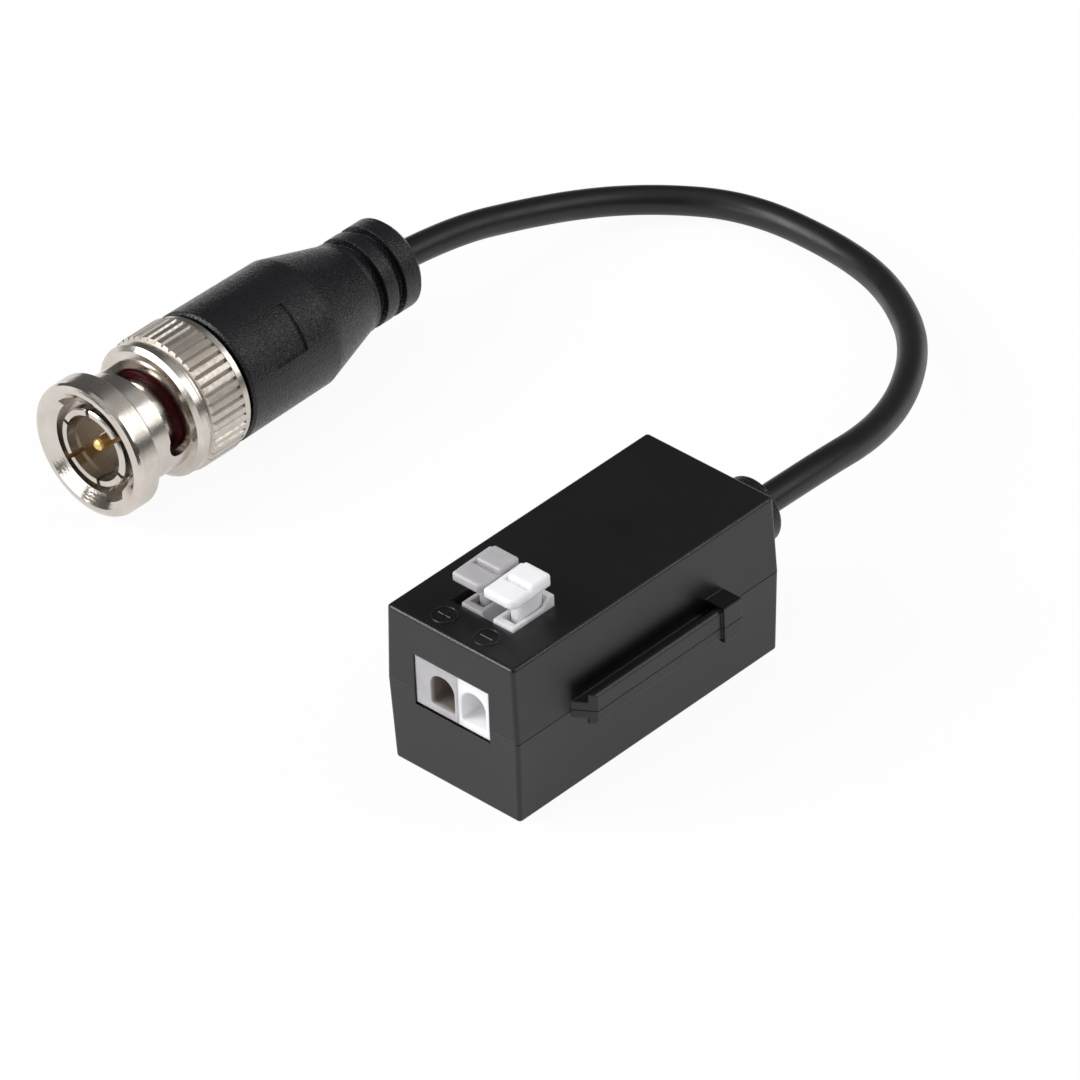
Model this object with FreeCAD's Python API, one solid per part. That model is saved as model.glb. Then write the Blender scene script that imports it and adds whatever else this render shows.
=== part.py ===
"""Single-channel video balun on a short pigtail, modelled in millimetres.

A two-shell housing holds a small board with a toroid transformer and a two-pole
lever terminal.  A moulded grommet carries a thin coaxial cable to an overmoulded
bayonet plug.  The origin is the centre of the housing's base, +Z is up, -Y is the
terminal end, +Y is the cable end and +X is the side with the joining rail.
"""

import FreeCAD, Part
import math
import os

V = FreeCAD.Vector

# Housing
HOUSING_WIDTH = 16.6
HOUSING_LENGTH = 35.7
HOUSING_HEIGHT = 17.6
PARTING_HEIGHT = 9.25
UPPER_SIDE_DRAFT = 0.3
UPPER_END_DRAFT = 0.12
LOWER_SIDE_DRAFT = 0.35
LOWER_END_DRAFT = 0.2
WALL = 1.5
CORNER_RADIUS = 0.4
EDGE_RADIUS = 0.3
OVERCUT = 1.0
TONGUE_HEIGHT = 0.9
TONGUE_THICKNESS = 0.6
TONGUE_GAP = 0.05

# Joining rail on +X and its groove on -X
RAIL_REACH = 2.0
RAIL_NECK = 1.2
RAIL_NECK_UP = 0.95
RAIL_NECK_DOWN = 0.85
RAIL_HEAD_UP = 1.85
RAIL_HEAD_DOWN = 1.45
RAIL_CHAMFER = 0.25
RAIL_FRONT_Y = -10.5
RAIL_REAR_Y = 10.2
RAIL_SLANT = 1.3
STOP_LENGTH = 2.4
STOP_STEP = 0.3
GROOVE_GAP = 0.15
CHANNEL_WALL = 0.75

# Terminal
POLE_PITCH = 3.96
SIDE_STRIP = 1.4
TERMINAL_RECESS = 0.15
TERMINAL_HEIGHT = 5.5
TERMINAL_REAR_Y = -7.8
WINDOW_GAP = 0.08
WINDOW_SILL = 0.3
TOWER_HALF_WIDTH = 1.25
TOWER_FRONT_Y = -13.35
TOWER_STAND = 0.35
EAR_STAND = 1.2
EAR_THICKNESS = 0.6
TOP_WINDOW_HALF = 4.0
ENTRY_WIDTH = 3.1
ENTRY_HEIGHT = 3.65
ENTRY_ARCH = 1.45
ENTRY_CORNER = 0.4
ENTRY_CENTRE_UP = 2.55
FUNNEL_DEPTH = 3.0
FUNNEL_SHRINK = 0.35
CHAMBER_HALF_WIDTH = 0.95
CHAMBER_FLOOR = 1.2
CHAMBER_TOP = 5.1
CHAMBER_REAR_Y = -8.85
SHOULDER_DROP = 1.0

# Levers
LEVER_WIDTH = 3.76
LEVER_LENGTH = 5.25
LEVER_FRONT_Y = -13.9
LEVER_RISE = 3.0
LEVER_PLATE = 0.9
LEVER_TILT = 2.0
LEVER_PAD = 0.35
LEVER_PAD_LENGTH = 2.6
LEVER_PAD_INSET = 0.6
LEVER_DIP = 0.25
LEVER_DIP_LENGTH = 0.45
LEVER_EDGE = 0.3
LEVER_CORNER = 0.9
BLADE_ROUND = 0.5
BLADE_WIDTH = 1.5
BLADE_GAP = 0.1
SLOT_LEAD = 0.8
BLADE_FRONT_Y = -11.8
BLADE_REAR_Y = -8.9
PIVOT_Y = -9.6
PIVOT_DEPTH = 1.2
PIVOT_RADIUS = 0.5
PIVOT_GAP = 0.05
HUB_RADIUS = 0.95

# Spring, contact and board
SPRING_THICKNESS = 0.25
SPRING_WIDTH = 1.6
SPRING_BEND = 0.6
CONTACT_THICKNESS = 0.35
CONTACT_WIDTH = 1.7
CONTACT_FRONT_Y = -14.6
LEG_WIDTH = 0.7
LEG_DEPTH = 0.4
LEG_Y = -9.9
LEG_TAIL = 0.7
BOARD_TOP = 8.0
BOARD_THICKNESS = 1.6
BOARD_SIDE_GAP = 0.3
BOARD_FRONT_Y = -16.0
BOARD_REAR_Y = 13.2
BOARD_GAP = 0.1
RIB_THICKNESS = 1.2
RIB_BEARING = 0.8

# Parts on the board
CORE_RADIUS = 3.6
CORE_BORE = 1.7
CORE_HEIGHT = 3.0
CORE_Y = -1.6
WIRE = 0.3
WIRE_GAP = 0.03
TURNS = 6
TURN_ANGLE = 20.0
DISC_RADIUS = 2.3
DISC_THICKNESS = 1.6
DISC_Y = 5.2
CHIP_LENGTH = 2.0
CHIP_WIDTH = 1.25
CHIP_HEIGHT = 0.7

# Cable and grommet
CABLE_RADIUS = 1.5
CORE_WIRE_RADIUS = 0.7
BRAID_RADIUS = 0.45
BORE_GAP = 0.05
LEAD_STEP = 1.55
LEAD_BEND = 1.2
BOSS_RADIUS = 3.5
BOSS_LENGTH = 5.8
NECK_RADIUS = 3.2
NECK_GAP = 0.05
FLANGE_RADIUS = 4.3
FLANGE_THICKNESS = 1.6
BOSS_EDGE = 0.35

# Plug, measured along its own axis from the coupling nut's open end
PLUG_X = -56.7
PLUG_FRONT_Y = -8.95
NUT_RADIUS = 7.15
NUT_FLANGE = 2.85
NUT_NECK_RADIUS = 5.8
NUT_SHOULDER_T = 8.3
NUT_SHOULDER_RADIUS = 7.05
KNURL_START = 10.05
KNURL_END = 14.35
KNURL_RADIUS = 7.25
KNURL_DEPTH = 0.3
KNURL_COUNT = 46
KNURL_SHARE = 0.42
NUT_CHAMFER = 0.25
NUT_NOSE = 0.45
NUT_LENGTH = 15.45
NUT_RIM_RADIUS = 7.0
NUT_BORE = 4.95
NUT_MOUTH_RADIUS = 6.25
NUT_MOUTH_DEPTH = 0.8
NUT_CAVITY_RADIUS = 5.75
NUT_GROOVE_RADIUS = 6.3
ENTRY_ANGLE = -122.0
SLOT_WIDTH = 2.7
SLOT_ENTRY_T = 6.6
SLOT_END_T = 6.95
LUG_RADIUS = 5.6
DETENT_RADIUS = 1.45
DETENT_T = 6.85
SHELL_TIP_T = 0.75
SHELL_RADIUS = 4.1
SHELL_LIP = 0.15
SHELL_BEAD = 1.0
SHELL_BEAD_FADE = 0.5
SHELL_BORE = 3.7
FINGER_COUNT = 6
FINGER_SLOT = 0.45
FINGER_LENGTH = 5.6
FINGER_ANGLE = -36.5
BODY_FLANGE_T = 9.6
BODY_FLANGE_THICKNESS = 1.15
BODY_FLANGE_RADIUS = 5.67
BARREL_RADIUS = 4.7
BARREL_END = 16.15
STEM_RADIUS = 3.2
STEM_END = 20.75
STEM_BORE = 1.5
INSULATOR_FRONT = 8.75
INSULATOR_REAR = 15.35
PIN_RADIUS = 0.675
PIN_TIP_T = 1.15
PIN_NOSE = 0.48
PIN_ROOT_RADIUS = 0.85
PIN_COLLAR_RADIUS = 1.2
PIN_COLLAR_T = 10.25
PIN_END = 17.75
GASKET_T = 7.65
GASKET_GAP = 0.15
NUT_TRAVEL = 0.7
WAVE_SHEET = 0.2
WAVE_COUNT = 3
WAVE_STEPS = 8
WASHER_THICKNESS = 0.4
RING_THICKNESS = 0.8
RING_BORE = 4.78
RING_GAP_ANGLE = 34.0
STACK_GAP = 0.05
FERRULE_RADIUS = 2.0
FERRULE_FRONT = 25.25
FERRULE_GRIP = 3.5
TUBE_GAP = 0.2
BOOT_FRONT = 15.75
BOOT_RADIUS = 7.1
BOOT_REAR_RADIUS = 6.97
BOOT_TAPER_T = 27.75
BOOT_NECK_T = 35.05
BOOT_NECK_RADIUS = 4.9
BOOT_GROOVE_RADIUS = 4.15
BOOT_GROOVE_WIDTH = 1.1
BOOT_GROOVES = (35.5, 38.1)
BOOT_END = 41.7
BOOT_EDGE = 0.5
PANEL_START = 19.4
PANEL_END = 23.7
PANEL_ANGLES = (-62.0, -18.0)
PANEL_DEPTH = 0.2


def box(x0, x1, y0, y1, z0, z1):
    return Part.makeBox(x1 - x0, y1 - y0, z1 - z0, V(x0, y0, z0))


def cylinder(radius, start, end):
    axis = end - start
    return Part.makeCylinder(radius, axis.Length, start, axis)


def prism(points, direction):
    """A flat outline, closed by itself, pushed along a direction."""
    wire = Part.makePolygon(points + [points[0]])
    return Part.Face(wire).extrude(direction)


def turned(profile):
    """A closed outline of (radius, height) points turned about Z."""
    points = [V(r, 0, t) for r, t in profile]
    face = Part.Face(Part.makePolygon(points + [points[0]]))
    return face.revolve(V(0, 0, 0), V(0, 0, 1), 360)


def arched_opening(half_x, half_y, arch, corner, z):
    """A wire in a level plane: an arch over straight sides and a flat foot."""
    edges = []
    corners = [(1, 1, 0, arch), (-1, 1, 90, arch), (-1, -1, 180, corner), (1, -1, 270, corner)]
    for sx, sy, start, radius in corners:
        centre = V(sx * (half_x - radius), sy * (half_y - radius), z)
        edges.append(Part.makeCircle(radius, centre, V(0, 0, 1), start, start + 90))
    wire_edges = []
    for i, arc in enumerate(edges):
        following = edges[(i + 1) % len(edges)]
        wire_edges.append(arc)
        wire_edges.append(Part.makeLine(arc.lastVertex().Point, following.firstVertex().Point))
    return Part.Wire(wire_edges)


def upright_edges(shape):
    """The edges that stand up, leaning or not."""
    return [e for e in shape.Edges if e.BoundBox.ZLength > 1e-3
            and len(e.Vertexes) == 2 and e.Curve.TypeId == "Part::GeomLine"]


def closed_solid(faces):
    """The solid inside faces that meet all round."""
    shell = Part.Shell(faces)
    shell.sewShape()
    solid = Part.Solid(shell)
    if solid.Volume < 0:
        solid.reverse()
    return solid


def drafted(z0, z1, low, high, radius):
    """A block whose flat sides lean, with its standing edges rounded."""
    block = Part.makeWedge(-low[0], z0, -low[1], -high[1], -high[0],
                           low[0], z1, low[1], high[1], high[0])
    block.rotate(V(0, 0, 0), V(1, 0, 0), 90)
    return block.makeFillet(radius, upright_edges(block))


def rounded_route(points, share=None, radius=None):
    """Straight runs joined by tangent arcs, and the arcs' radii."""
    points = [V(*p) for p in points]
    edges = []
    radii = []
    last = points[0]
    for before, corner, after in zip(points, points[1:], points[2:]):
        back = (before - corner).normalize()
        onward = (after - corner).normalize()
        half_turn = (math.pi - back.getAngle(onward)) / 2
        if share:
            tangent = share * min(before.distanceToPoint(corner), after.distanceToPoint(corner))
        else:
            tangent = radius * math.tan(half_turn)
        bend = tangent / math.tan(half_turn)
        start = corner + back * tangent
        end = corner + onward * tangent
        middle = (back + onward).normalize()
        centre_distance = math.hypot(bend, tangent)
        crown = corner + middle * (centre_distance - bend)
        edges.append(Part.LineSegment(last, start).toShape())
        edges.append(Part.Arc(start, crown, end).toShape())
        radii.append(bend)
        last = end
    edges.append(Part.LineSegment(last, points[-1]).toShape())
    return Part.Wire(edges), radii


def tube(points, radius, share=None, bend=None):
    """A round bar along a route."""
    path, radii = rounded_route(points, share, bend)
    start = V(*points[0])
    along = V(*points[1]) - start
    section = Part.Wire(Part.makeCircle(radius, start, along))
    return path.makePipeShell([section], True, False), path, radii


def on_plug(shape):
    """Places a shape made about Z on the plug's axis, open end towards -Y."""
    shape.rotate(V(0, 0, 0), V(1, 0, 0), -90)
    shape.translate(V(PLUG_X, PLUG_FRONT_Y, PLUG_Z))
    return shape


# Sizes that several pieces share
HALF_WIDTH = HOUSING_WIDTH / 2
HALF_LENGTH = HOUSING_LENGTH / 2
UPPER_HALF = (HALF_WIDTH - UPPER_SIDE_DRAFT, HALF_LENGTH - UPPER_END_DRAFT)
LOWER_HALF = (HALF_WIDTH - LOWER_SIDE_DRAFT, HALF_LENGTH - LOWER_END_DRAFT)
PARTING_HALF = (HALF_WIDTH, HALF_LENGTH)
CEILING = HOUSING_HEIGHT - WALL
TERMINAL_FRONT_Y = -HALF_LENGTH + TERMINAL_RECESS
TERMINAL_HALF = POLE_PITCH + SIDE_STRIP / 2
TERMINAL_TOP = BOARD_TOP + TERMINAL_HEIGHT
PLUS_X = -TERMINAL_HALF + SIDE_STRIP + POLE_PITCH / 2
MINUS_X = PLUS_X + POLE_PITCH
TOWER_TOP = HOUSING_HEIGHT + TOWER_STAND
LEVER_BASE = HOUSING_HEIGHT + LEVER_RISE
PIVOT_Z = HOUSING_HEIGHT - PIVOT_DEPTH
NOSE_Z = BOARD_TOP + CHAMBER_TOP
GROMMET_LEAN = LOWER_END_DRAFT * FLANGE_RADIUS / PARTING_HEIGHT
GROMMET_SEAT_Y = HALF_LENGTH - WALL - GROMMET_LEAN - NECK_GAP
GROMMET_INNER_Y = GROMMET_SEAT_Y - FLANGE_THICKNESS
CHANNEL_INNER_X = -HALF_WIDTH + RAIL_REACH + STOP_STEP + GROOVE_GAP + CHANNEL_WALL
BOARD_HALF_WIDTH = -CHANNEL_INNER_X - BOARD_SIDE_GAP
WAVE_HEIGHT = WAVE_SHEET + NUT_TRAVEL + STACK_GAP
WASHER_T = BODY_FLANGE_T + BODY_FLANGE_THICKNESS + WAVE_HEIGHT + STACK_GAP
RING_T = WASHER_T + WASHER_THICKNESS + STACK_GAP
PLUG_Z = KNURL_RADIUS

# The cable's route, from the grommet's inner face to the middle of the boot
ROUTE = [
    (0.0, GROMMET_INNER_Y, PARTING_HEIGHT),
    (0.0, 30.2, PARTING_HEIGHT),
    (-2.4, 45.3, 5.9),
    (-10.2, 58.4, 3.8),
    (-20.5, 66.1, 2.2),
    (-30.0, 68.9, CABLE_RADIUS),
    (-41.9, 68.5, CABLE_RADIUS),
    (-50.0, 62.5, 2.0),
    (-54.1, 53.2, 4.0),
    (PLUG_X, 38.0, PLUG_Z),
    (PLUG_X, 24.6, PLUG_Z),
]
ARC_SHARE = 0.45
CABLE_END_T = ROUTE[-1][1] - PLUG_FRONT_Y
FERRULE_END = CABLE_END_T + FERRULE_GRIP


def inset(half, amount):
    return (half[0] - amount, half[1] - amount)


def rail(sign):
    """Half of the T rail: the half above the parting plane for +1, below for -1."""
    neck = RAIL_NECK_UP if sign > 0 else RAIL_NECK_DOWN
    head = RAIL_HEAD_UP if sign > 0 else RAIL_HEAD_DOWN
    root = HALF_WIDTH - WALL / 2
    neck_x = HALF_WIDTH + RAIL_NECK
    tip_x = HALF_WIDTH + RAIL_REACH

    def level(height):
        return PARTING_HEIGHT + sign * height

    outline = [
        V(root, RAIL_FRONT_Y, level(0)),
        V(tip_x, RAIL_FRONT_Y, level(0)),
        V(tip_x, RAIL_FRONT_Y, level(head - RAIL_CHAMFER)),
        V(tip_x - RAIL_CHAMFER, RAIL_FRONT_Y, level(head)),
        V(neck_x, RAIL_FRONT_Y, level(head)),
        V(neck_x, RAIL_FRONT_Y, level(neck)),
        V(root, RAIL_FRONT_Y, level(neck)),
    ]
    bar = prism(outline, V(0, RAIL_REAR_Y - RAIL_FRONT_Y, 0))
    heights = sorted([level(0), level(head + STOP_STEP)])
    stop_x = tip_x + STOP_STEP
    stop = box(root, stop_x, RAIL_REAR_Y - STOP_LENGTH, RAIL_REAR_Y, *heights)
    slant = RAIL_SLANT / RAIL_REACH
    beyond = OVERCUT
    wedge = prism(
        [
            V(HALF_WIDTH, RAIL_FRONT_Y, 0),
            V(tip_x + beyond, RAIL_FRONT_Y + slant * (RAIL_REACH + beyond), 0),
            V(tip_x + beyond, RAIL_FRONT_Y - beyond, 0),
            V(HALF_WIDTH, RAIL_FRONT_Y - beyond, 0),
        ],
        V(0, 0, HOUSING_HEIGHT),
    )
    return bar.fuse(stop).cut(wedge)


def groove():
    """The slot in the -X side that a neighbour's rail slides into."""
    lip_x = -HALF_WIDTH + RAIL_NECK - GROOVE_GAP
    floor_x = -HALF_WIDTH + RAIL_REACH + GROOVE_GAP
    pocket_x = floor_x + STOP_STEP
    outside = -HALF_WIDTH - OVERCUT
    front = RAIL_FRONT_Y - GROOVE_GAP
    rear = HALF_LENGTH + OVERCUT
    p = PARTING_HEIGHT
    mouth = box(outside, lip_x, front, rear,
                p - RAIL_NECK_DOWN - GROOVE_GAP, p + RAIL_NECK_UP + GROOVE_GAP)
    head = box(lip_x, floor_x, front, rear,
               p - RAIL_HEAD_DOWN - GROOVE_GAP, p + RAIL_HEAD_UP + GROOVE_GAP)
    pocket = box(outside, pocket_x, RAIL_REAR_Y - STOP_LENGTH - GROOVE_GAP, rear,
                 p - RAIL_HEAD_DOWN - STOP_STEP - GROOVE_GAP,
                 p + RAIL_HEAD_UP + STOP_STEP + GROOVE_GAP)
    return mouth.fuse(head).fuse(pocket)


def channel_wall(sign):
    """The housing's wall where it stands inward round the groove."""
    head = RAIL_HEAD_UP if sign > 0 else RAIL_HEAD_DOWN
    reach = sign * (head + STOP_STEP + GROOVE_GAP + CHANNEL_WALL)
    heights = sorted([PARTING_HEIGHT, PARTING_HEIGHT + reach])
    front = RAIL_FRONT_Y - GROOVE_GAP - CHANNEL_WALL
    return box(-HALF_WIDTH + WALL / 2, CHANNEL_INNER_X, front, HALF_LENGTH - WALL / 2, *heights)


def front_window():
    half = TERMINAL_HALF + WINDOW_GAP
    rear = -HALF_LENGTH + 2 * WALL
    return box(-half, half, -HALF_LENGTH - OVERCUT, rear, BOARD_TOP - WINDOW_SILL, TERMINAL_TOP)


def grommet_hole():
    y = HALF_LENGTH
    return cylinder(NECK_RADIUS + NECK_GAP, V(0, y - 2 * WALL, PARTING_HEIGHT),
                    V(0, y + OVERCUT, PARTING_HEIGHT))


def edges_at(shape, z):
    """The edges that lie level at one height."""
    found = []
    for edge in shape.Edges:
        box_ = edge.BoundBox
        if abs(box_.ZMin - z) < 1e-4 and abs(box_.ZMax - z) < 1e-4:
            found.append(edge)
    return found


def tongue_ring(gap):
    """The rim that keys the two shells together, grown by a gap all round."""
    inner = inset(PARTING_HALF, WALL + gap)
    outer = inset(PARTING_HALF, WALL - TONGUE_THICKNESS - gap)
    top = PARTING_HEIGHT + TONGUE_HEIGHT + gap
    solid = drafted(PARTING_HEIGHT, top, outer, outer, CORNER_RADIUS)
    core = drafted(PARTING_HEIGHT - OVERCUT, top + OVERCUT, inner, inner, CORNER_RADIUS / 2)
    return solid.cut(core)


def upper_shell():
    body = drafted(PARTING_HEIGHT, HOUSING_HEIGHT, PARTING_HALF, UPPER_HALF, CORNER_RADIUS)
    body = body.makeFillet(EDGE_RADIUS, edges_at(body, HOUSING_HEIGHT))
    hollow = drafted(PARTING_HEIGHT - OVERCUT, CEILING, inset(PARTING_HALF, WALL),
                     inset(UPPER_HALF, WALL), CORNER_RADIUS / 2)
    shell = body.cut(hollow).fuse(channel_wall(1)).fuse(rail(1))
    rib_y = BOARD_REAR_Y - 2 * RIB_THICKNESS
    for side in (-1, 1):
        x0, x1 = sorted([side * (BOARD_HALF_WIDTH - RIB_BEARING), side * BOARD_HALF_WIDTH])
        shell = shell.fuse(box(x0, x1, rib_y, rib_y + RIB_THICKNESS, BOARD_TOP, CEILING + WALL / 2))
    top_window = box(-TOP_WINDOW_HALF, TOP_WINDOW_HALF, TOWER_FRONT_Y - WINDOW_GAP,
                     TERMINAL_REAR_Y + WINDOW_GAP, TERMINAL_TOP, HOUSING_HEIGHT + OVERCUT)
    shell = shell.cut([tongue_ring(TONGUE_GAP), groove(), front_window(), top_window, grommet_hole()])
    return shell.removeSplitter()


def lower_shell():
    body = drafted(0, PARTING_HEIGHT, LOWER_HALF, PARTING_HALF, CORNER_RADIUS)
    body = body.makeFillet(EDGE_RADIUS, edges_at(body, 0))
    hollow = drafted(WALL, PARTING_HEIGHT + OVERCUT, inset(LOWER_HALF, WALL),
                     inset(PARTING_HALF, WALL), CORNER_RADIUS / 2)
    shell = body.cut(hollow).fuse(channel_wall(-1)).fuse(rail(-1))
    tongue = tongue_ring(0)
    keep_out = box(-HALF_WIDTH, CHANNEL_INNER_X, RAIL_FRONT_Y - GROOVE_GAP - CHANNEL_WALL - BOARD_GAP,
                   HALF_LENGTH, PARTING_HEIGHT, HOUSING_HEIGHT)
    shell = shell.fuse(tongue.cut(keep_out))
    board_bottom = BOARD_TOP - BOARD_THICKNESS
    stop_top = board_bottom + BOARD_THICKNESS / 2
    for y in (BOARD_FRONT_Y + 2 * RIB_THICKNESS, BOARD_REAR_Y - 2 * RIB_THICKNESS):
        for side in (-1, 1):
            edge = side * BOARD_HALF_WIDTH
            root = side * (HALF_WIDTH - WALL / 2)
            foot = sorted([edge - side * RIB_BEARING, root])
            cheek = sorted([edge + side * BOARD_GAP, root])
            shell = shell.fuse(box(*foot, y, y + RIB_THICKNESS, WALL / 2, board_bottom))
            shell = shell.fuse(box(*cheek, y, y + RIB_THICKNESS, WALL / 2, stop_top))
    shell = shell.cut([groove(), front_window(), grommet_hole()])
    return shell.removeSplitter()


def wire_entry(x):
    """The funnel a bare wire is pushed into, and the chamber behind it."""
    z = BOARD_TOP + ENTRY_CENTRE_UP
    sizes = (ENTRY_WIDTH / 2, ENTRY_HEIGHT / 2, ENTRY_ARCH, ENTRY_CORNER)
    share = 1 - 2 * FUNNEL_SHRINK / ENTRY_WIDTH
    wide = arched_opening(*sizes, 0)
    narrow = arched_opening(*[share * size for size in sizes], -FUNNEL_DEPTH)
    funnel = Part.makeLoft([wide, narrow], True, True)
    funnel.rotate(V(0, 0, 0), V(1, 0, 0), 90)
    funnel.translate(V(x, TERMINAL_FRONT_Y, z))
    chamber = box(x - CHAMBER_HALF_WIDTH, x + CHAMBER_HALF_WIDTH,
                  TERMINAL_FRONT_Y + FUNNEL_DEPTH, CHAMBER_REAR_Y,
                  BOARD_TOP + CHAMBER_FLOOR, BOARD_TOP + CHAMBER_TOP)
    return funnel.fuse(chamber)


def tower(x):
    """The raised part that carries one lever, with its ears behind."""
    ear_front = TERMINAL_REAR_Y - EAR_THICKNESS
    ear_top = HOUSING_HEIGHT + EAR_STAND
    rise = ear_top - TOWER_TOP
    outline = [
        V(0, TOWER_FRONT_Y, TERMINAL_TOP),
        V(0, TOWER_FRONT_Y, TOWER_TOP),
        V(0, ear_front - rise, TOWER_TOP),
        V(0, ear_front, ear_top),
        V(0, TERMINAL_REAR_Y, ear_top),
        V(0, TERMINAL_REAR_Y, TERMINAL_TOP),
    ]
    shape = prism(outline, V(2 * TOWER_HALF_WIDTH, 0, 0))
    shape.translate(V(x - TOWER_HALF_WIDTH, 0, 0))
    return shape


def terminal_block(x, left, right):
    """One pole's moulding: entry, chamber, lever tower and pivot holes."""
    body = box(left, right, TERMINAL_FRONT_Y, TERMINAL_REAR_Y, BOARD_TOP, TERMINAL_TOP)
    body = body.fuse(tower(x))
    edge = x + TOWER_HALF_WIDTH
    if right < MINUS_X:
        shoulder = [
            V(edge, TOWER_FRONT_Y, TERMINAL_TOP),
            V(edge, TOWER_FRONT_Y, TOWER_TOP),
            V(right, TOWER_FRONT_Y, TOWER_TOP - SHOULDER_DROP),
            V(right, TOWER_FRONT_Y, TERMINAL_TOP),
        ]
        body = body.fuse(prism(shoulder, V(0, TERMINAL_REAR_Y - TOWER_FRONT_Y, 0)))
    half_slot = BLADE_WIDTH / 2 + BLADE_GAP
    slot = box(x - half_slot, x + half_slot, BLADE_FRONT_Y - SLOT_LEAD,
               TERMINAL_REAR_Y - EAR_THICKNESS, BOARD_TOP + CHAMBER_TOP - OVERCUT, TOWER_TOP + EAR_STAND)
    pivot = cylinder(PIVOT_RADIUS + PIVOT_GAP, V(x - TOWER_HALF_WIDTH, PIVOT_Y, PIVOT_Z),
                     V(x + TOWER_HALF_WIDTH, PIVOT_Y, PIVOT_Z))
    leg = box(x - LEG_WIDTH / 2 - BORE_GAP, x + LEG_WIDTH / 2 + BORE_GAP,
              LEG_Y - BORE_GAP, LEG_Y + LEG_DEPTH + BORE_GAP, BOARD_TOP - OVERCUT, BOARD_TOP + CHAMBER_FLOOR)
    return body.cut([wire_entry(x), slot, pivot, leg]).removeSplitter()


def lever_cap(x):
    """The finger plate: a plain front, a shallow dip and a raised rear pad."""
    half = LEVER_WIDTH / 2
    right = x + half
    rear_y = LEVER_FRONT_Y + LEVER_LENGTH
    plate_top = LEVER_BASE + LEVER_PLATE
    plate = box(x - half, right, LEVER_FRONT_Y, rear_y, LEVER_BASE, plate_top)
    near = [e for e in upright_edges(plate)
            if e.BoundBox.XMin > x and e.BoundBox.YMax < PIVOT_Y]
    plate = plate.makeFillet(LEVER_CORNER, near)
    others = [e for e in upright_edges(plate)
              if e.BoundBox.XMin < x or e.BoundBox.YMin > PIVOT_Y]
    plate = plate.makeFillet(LEVER_EDGE, others)
    plate = plate.makeFillet(LEVER_EDGE, edges_at(plate, plate_top))
    pad_y = rear_y - LEVER_PAD_LENGTH
    left = x - half + LEVER_PAD_INSET
    dip = prism(
        [
            V(left, pad_y - LEVER_DIP_LENGTH, plate_top),
            V(left, pad_y, plate_top - LEVER_DIP),
            V(left, pad_y + LEVER_DIP, plate_top),
        ],
        V(LEVER_WIDTH, 0, 0),
    )
    pad_top = plate_top + LEVER_PAD
    pad = box(left, right, pad_y, rear_y, plate_top - LEVER_PAD, pad_top)
    front = [e for e in edges_at(pad, pad_top) if e.BoundBox.YMax < pad_y + LEVER_DIP]
    pad = pad.makeFillet(LEVER_EDGE, front)
    rear = [e for e in upright_edges(pad) if e.BoundBox.YMin > PIVOT_Y]
    pad = pad.makeFillet(LEVER_EDGE, rear)
    rim = [e for e in edges_at(pad, pad_top) if e.BoundBox.YMax > PIVOT_Y]
    pad = pad.makeFillet(LEVER_EDGE, rim)
    cap = plate.cut(dip).fuse(pad)
    cap.rotate(V(x, LEVER_FRONT_Y, LEVER_BASE), V(1, 0, 0), LEVER_TILT)
    return cap


def lever(x):
    """A push lever: a stepped cap on a blade with a hub and two trunnions."""
    side = x - BLADE_WIDTH / 2
    root = LEVER_BASE + LEVER_PLATE / 2
    blade = prism(
        [
            V(side, BLADE_FRONT_Y, root),
            V(side, BLADE_FRONT_Y, NOSE_Z + LEVER_EDGE),
            V(side, BLADE_FRONT_Y + LEVER_EDGE, NOSE_Z),
            V(side, PIVOT_Y - HUB_RADIUS, NOSE_Z),
            V(side, BLADE_REAR_Y, PIVOT_Z - HUB_RADIUS),
            V(side, BLADE_REAR_Y, root),
        ],
        V(BLADE_WIDTH, 0, 0),
    )
    front = [e for e in upright_edges(blade) if e.BoundBox.YMax < BLADE_FRONT_Y + BLADE_GAP]
    blade = blade.makeFillet(BLADE_ROUND, front)
    hub = cylinder(HUB_RADIUS, V(side, PIVOT_Y, PIVOT_Z), V(side + BLADE_WIDTH, PIVOT_Y, PIVOT_Z))
    reach = TOWER_HALF_WIDTH - PIVOT_GAP
    pin = cylinder(PIVOT_RADIUS, V(x - reach, PIVOT_Y, PIVOT_Z), V(x + reach, PIVOT_Y, PIVOT_Z))
    return lever_cap(x).fuse([blade, hub, pin]).removeSplitter()


def strip(points, thickness, width, bend):
    """A bent flat strip in the YZ plane, centred on its x."""
    path, _ = rounded_route(points, radius=bend)
    start = V(*points[0])
    along = (V(*points[1]) - start).normalize()
    across = V(1, 0, 0)
    normal = along.cross(across)
    corners = []
    for a, b in ((-1, -1), (1, -1), (1, 1), (-1, 1)):
        corners.append(start + across * (a * width / 2) + normal * (b * thickness / 2))
    section = Part.makePolygon(corners + [corners[0]])
    return path.makePipeShell([section], True, False)


def clamp_spring(x):
    """The bent leaf that grips the wire, standing against the chamber's rear."""
    back_y = CHAMBER_REAR_Y - SPRING_THICKNESS
    top = BOARD_TOP + CHAMBER_TOP - SPRING_THICKNESS
    floor = BOARD_TOP + CHAMBER_FLOOR + CONTACT_THICKNESS
    points = [
        (x, back_y, floor + SPRING_THICKNESS),
        (x, back_y, top - SPRING_THICKNESS),
        (x, PIVOT_Y - 2 * HUB_RADIUS, top),
        (x, TOWER_FRONT_Y - SPRING_THICKNESS, floor + SPRING_THICKNESS),
    ]
    return strip(points, SPRING_THICKNESS, SPRING_WIDTH, SPRING_BEND)


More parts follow.
